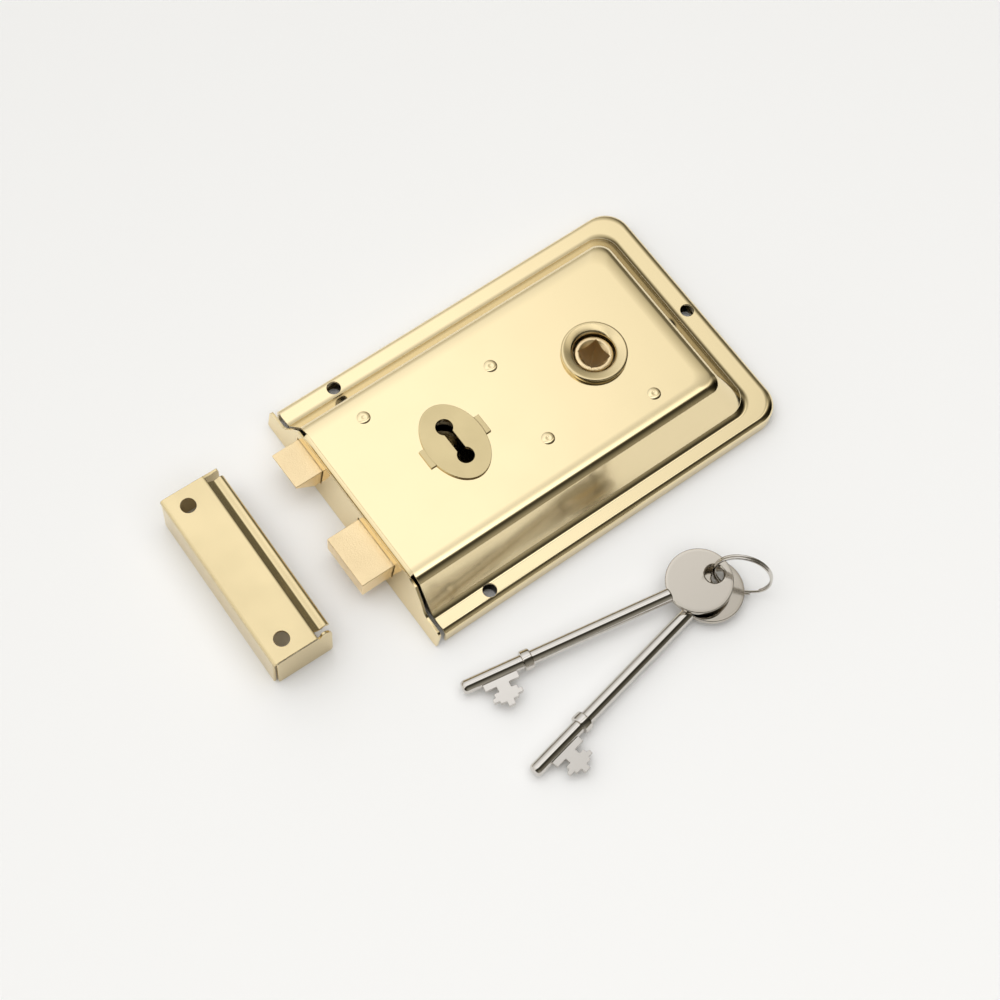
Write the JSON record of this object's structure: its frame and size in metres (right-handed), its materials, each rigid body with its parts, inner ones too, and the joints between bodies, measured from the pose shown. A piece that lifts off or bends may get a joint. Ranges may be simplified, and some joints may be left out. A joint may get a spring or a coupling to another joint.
{
  "type": "rim sash lock with keep and keys",
  "caption": "Pressed brass rim lock for a door's face, with spring latch, dead bolt, follower for a square spindle, box keep and bow keys on a split ring.",
  "frame": {"origin": "centre of the back plate's outer face, which rests on the door, under the middle of the 150 mm long case", "axes": "+Z is the lock's face, away from the door; -X is the way the bolts point; +Y is the latch bolt's side"},
  "size_m": [0.2006, 0.1644, 0.0231],
  "materials": {
    "pressed_brass": "satin polished and lacquered sheet",
    "satin_brass": "satin brass",
    "cast_brass": "fine sand-cast brass, ground on the bearing faces",
    "nickel": "bright nickel plate",
    "steel": "zinc plated steel, a guess: only the far edge of it would show",
    "spring_steel": "blued spring steel, a guess"
  },
  "bodies": {
    "case": {"case_shell": "pressed_brass", "back_plate": "steel", "latch_pillar": "cast_brass", "spring_pillar": "cast_brass", "lever_pillar": "cast_brass", "rear_pillar": "cast_brass", "plate_screw_1": "steel", "plate_screw_2": "steel", "plate_screw_3": "steel", "plate_screw_4": "steel", "escutcheon": "satin_brass", "follower_ring": "satin_brass", "latch_spring": "spring_steel", "latch_guide": "steel", "ward_front": "satin_brass", "ward_rear": "satin_brass"},
    "follower": {"follower": "cast_brass"},
    "latch": {"latch_head": "cast_brass", "latch_tail": "steel"},
    "dead_bolt": {"dead_bolt_head": "cast_brass", "dead_bolt_tail": "steel", "bolt_stump": "steel"},
    "lever_front": {"lever_front": "steel", "lever_spring_front": "spring_steel"},
    "lever_rear": {"lever_rear": "steel", "lever_spring_rear": "spring_steel"},
    "keep": {"keep_box": "satin_brass"},
    "key_ring": {"key_ring": "nickel"},
    "key_1": {"key_1_shank": "nickel", "key_1_bit": "nickel", "key_1_bow": "nickel"},
    "key_2": {"key_2_shank": "nickel", "key_2_bit": "nickel", "key_2_bow": "nickel"}
  },
  "joints": [
    {"name": "follower_turn", "type": "hinge", "parent": "case", "child": "follower", "pos_m": [0.027, 0, 0.011], "axis": [0, 0, -1], "range_deg": [0, 40]},
    {"name": "latch_slide", "type": "slide", "parent": "case", "child": "latch", "axis": [1, 0, 0], "range_m": [0, 0.0106], "stiffness_N_per_m": 300, "springref_m": -0.006, "deforming": ["latch_spring"]},
    {"name": "dead_bolt_slide", "type": "slide", "parent": "case", "child": "dead_bolt", "axis": [1, 0, 0], "range_m": [0, 0.0129]},
    {"name": "lever_front_turn", "type": "hinge", "parent": "case", "child": "lever_front", "pos_m": [-0.0053, -0.0168, 0.0137], "axis": [0, 0, -1], "range_deg": [0, 3]},
    {"name": "lever_rear_turn", "type": "hinge", "parent": "case", "child": "lever_rear", "pos_m": [-0.0053, -0.0168, 0.0079], "axis": [0, 0, -1], "range_deg": [0, 3]},
    {"name": "keep_close", "type": "slide", "parent": "case", "child": "keep", "axis": [1, 0, 0], "range_m": [0, 0.024]},
    {"name": "ring_lift", "type": "slide", "parent": "case", "child": "key_ring", "axis": [0, 0, 1], "range_m": [0, 0.05]},
    {"name": "key_1_swing", "type": "hinge", "parent": "key_ring", "child": "key_1", "pos_m": [0.0143, -0.08537, 0.00921], "axis": [0, 0, 1], "range_deg": [-5, 0]},
    {"name": "key_2_swing", "type": "hinge", "parent": "key_ring", "child": "key_2", "pos_m": [0.01677, -0.08706, 0.00465], "axis": [0, 0, 1], "range_deg": [0, 28]}
  ],
  "couplings": [
    {"joint": "follower_turn", "follows": "latch_slide", "rad_per_m": 65.86},
    {"joint": "lever_front_turn", "follows": "dead_bolt_slide", "rad_per_m": 4.058},
    {"joint": "lever_rear_turn", "follows": "dead_bolt_slide", "rad_per_m": 4.058}
  ]
}
